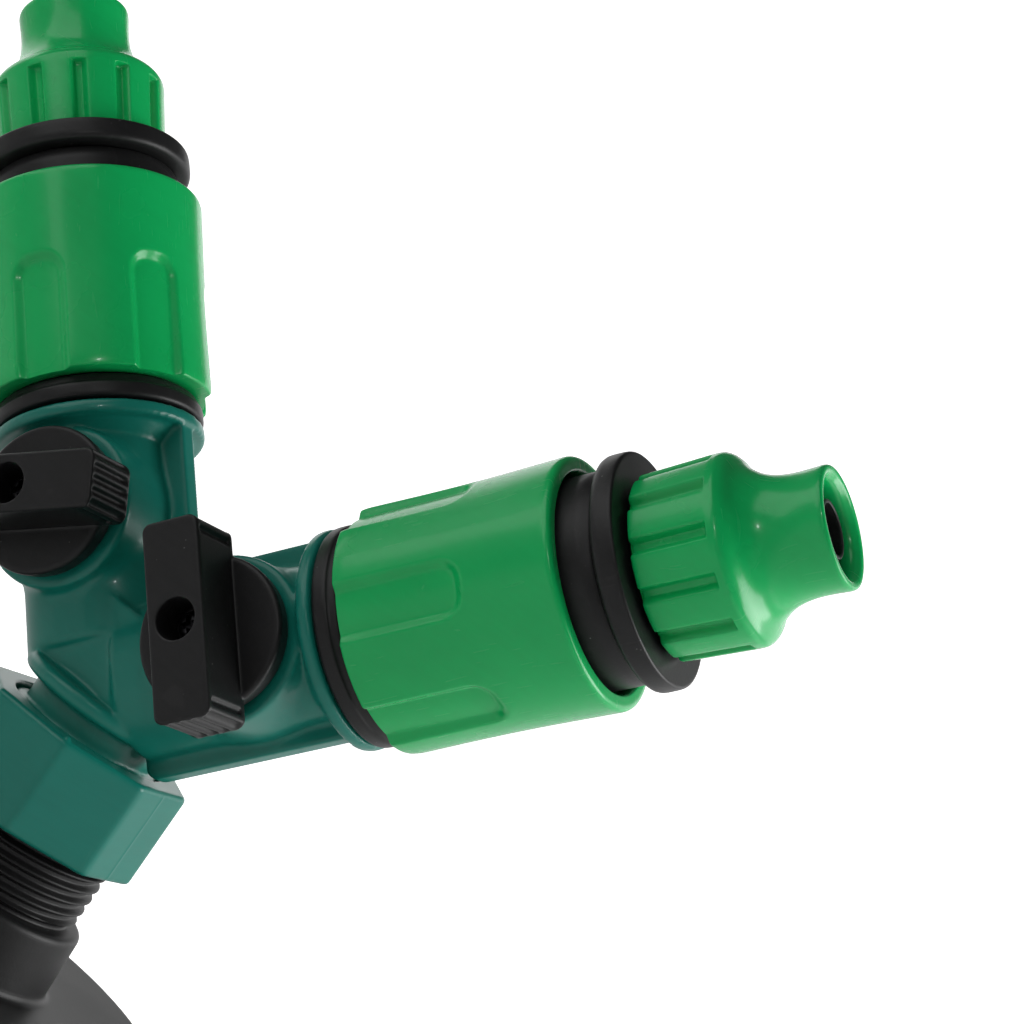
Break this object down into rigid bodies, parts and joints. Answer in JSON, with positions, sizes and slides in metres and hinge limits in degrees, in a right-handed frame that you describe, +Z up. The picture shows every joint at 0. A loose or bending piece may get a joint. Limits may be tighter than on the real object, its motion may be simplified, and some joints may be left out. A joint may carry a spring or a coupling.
{
  "type": "garden hose splitter",
  "caption": "Y-shaped garden tap splitter on a tank adapter cap, with a knob valve, click connector, sleeve and clamping hose nut on each arm.",
  "frame": {"origin": "centre of the cap's open rim, on the surface the part stands on", "axes": "+Z up along the adapter's axis, +X along the plane of the two arms, -Y the side of the valve knobs"},
  "size_m": [0.156, 0.0698, 0.1452],
  "materials": {
    "cap_plastic": "moulded, satin dark grey",
    "black_plastic": "moulded, matte to satin black",
    "teal_plastic": "moulded, soft gloss teal",
    "green_plastic": "moulded, glossy bright green",
    "rubber": "black rubber",
    "seat_plastic": "white seal plastic",
    "claw_plastic": "orange acetal",
    "ball_plastic": "polished light grey plastic",
    "screw_steel": "bright steel"
  },
  "bodies": {
    "tank_adapter": {"tank_cap": "cap_plastic", "cap_gasket": "rubber", "inlet_washer": "rubber"},
    "swivel_nut": {"swivel_nut": "teal_plastic"},
    "splitter": {"splitter_body": "teal_plastic", "outlet_nipple_left": "teal_plastic", "outlet_nipple_right": "teal_plastic", "nipple_o_ring_left": "rubber", "nipple_o_ring_right": "rubber", "ball_seat_outer_left": "seat_plastic", "ball_seat_outer_right": "seat_plastic", "ball_seat_inner_left": "seat_plastic", "ball_seat_inner_right": "seat_plastic"},
    "valve_left": {"valve_knob_left": "black_plastic", "valve_stem_left": "black_plastic", "valve_ball_left": "ball_plastic", "stem_o_ring_left": "rubber", "knob_screw_left": "screw_steel"},
    "connector_left": {"connector_body_left": "black_plastic", "claw_ring_left": "claw_plastic", "hose_tail_left": "black_plastic"},
    "sleeve_left": {"release_sleeve_left": "green_plastic"},
    "hose_nut_left": {"hose_nut_left": "green_plastic"},
    "valve_right": {"valve_knob_right": "black_plastic", "valve_stem_right": "black_plastic", "valve_ball_right": "ball_plastic", "stem_o_ring_right": "rubber", "knob_screw_right": "screw_steel"},
    "connector_right": {"connector_body_right": "black_plastic", "claw_ring_right": "claw_plastic", "hose_tail_right": "black_plastic"},
    "sleeve_right": {"release_sleeve_right": "green_plastic"},
    "hose_nut_right": {"hose_nut_right": "green_plastic"}
  },
  "joints": [
    {"name": "nut_turn", "type": "hinge", "parent": "tank_adapter", "child": "swivel_nut", "pos_m": [0, 0, 0.0545], "axis": [0, 0, 1], "continuous": true},
    {"name": "splitter_swivel", "type": "hinge", "parent": "tank_adapter", "child": "splitter", "pos_m": [0, 0, 0.0672], "axis": [0, 0, 1], "continuous": true},
    {"name": "valve_left_turn", "type": "hinge", "parent": "splitter", "child": "valve_left", "pos_m": [-0.01662, 0, 0.08382], "axis": [0, 1, 0], "range_deg": [-10, 80]},
    {"name": "connector_left_spin", "type": "hinge", "parent": "splitter", "child": "connector_left", "pos_m": [-0.03535, 0, 0.10255], "axis": [-0.7071, 0, 0.7071], "continuous": true},
    {"name": "sleeve_left_pull", "type": "slide", "parent": "connector_left", "child": "sleeve_left", "axis": [-0.7071, 0, 0.7071], "range_m": [0, 0.004], "stiffness_N_per_m": 600},
    {"name": "hose_nut_left_turn", "type": "hinge", "parent": "connector_left", "child": "hose_nut_left", "pos_m": [-0.0601, 0, 0.1273], "axis": [-0.7071, 0, 0.7071], "continuous": true},
    {"name": "valve_right_turn", "type": "hinge", "parent": "splitter", "child": "valve_right", "pos_m": [0.01662, 0, 0.08382], "axis": [0, 1, 0], "range_deg": [0, 90]},
    {"name": "connector_right_spin", "type": "hinge", "parent": "splitter", "child": "connector_right", "pos_m": [0.03535, 0, 0.10255], "axis": [0.7071, 0, 0.7071], "continuous": true},
    {"name": "sleeve_right_pull", "type": "slide", "parent": "connector_right", "child": "sleeve_right", "axis": [0.7071, 0, 0.7071], "range_m": [0, 0.004], "stiffness_N_per_m": 600},
    {"name": "hose_nut_right_turn", "type": "hinge", "parent": "connector_right", "child": "hose_nut_right", "pos_m": [0.0601, 0, 0.1273], "axis": [0.7071, 0, 0.7071], "continuous": true}
  ]
}
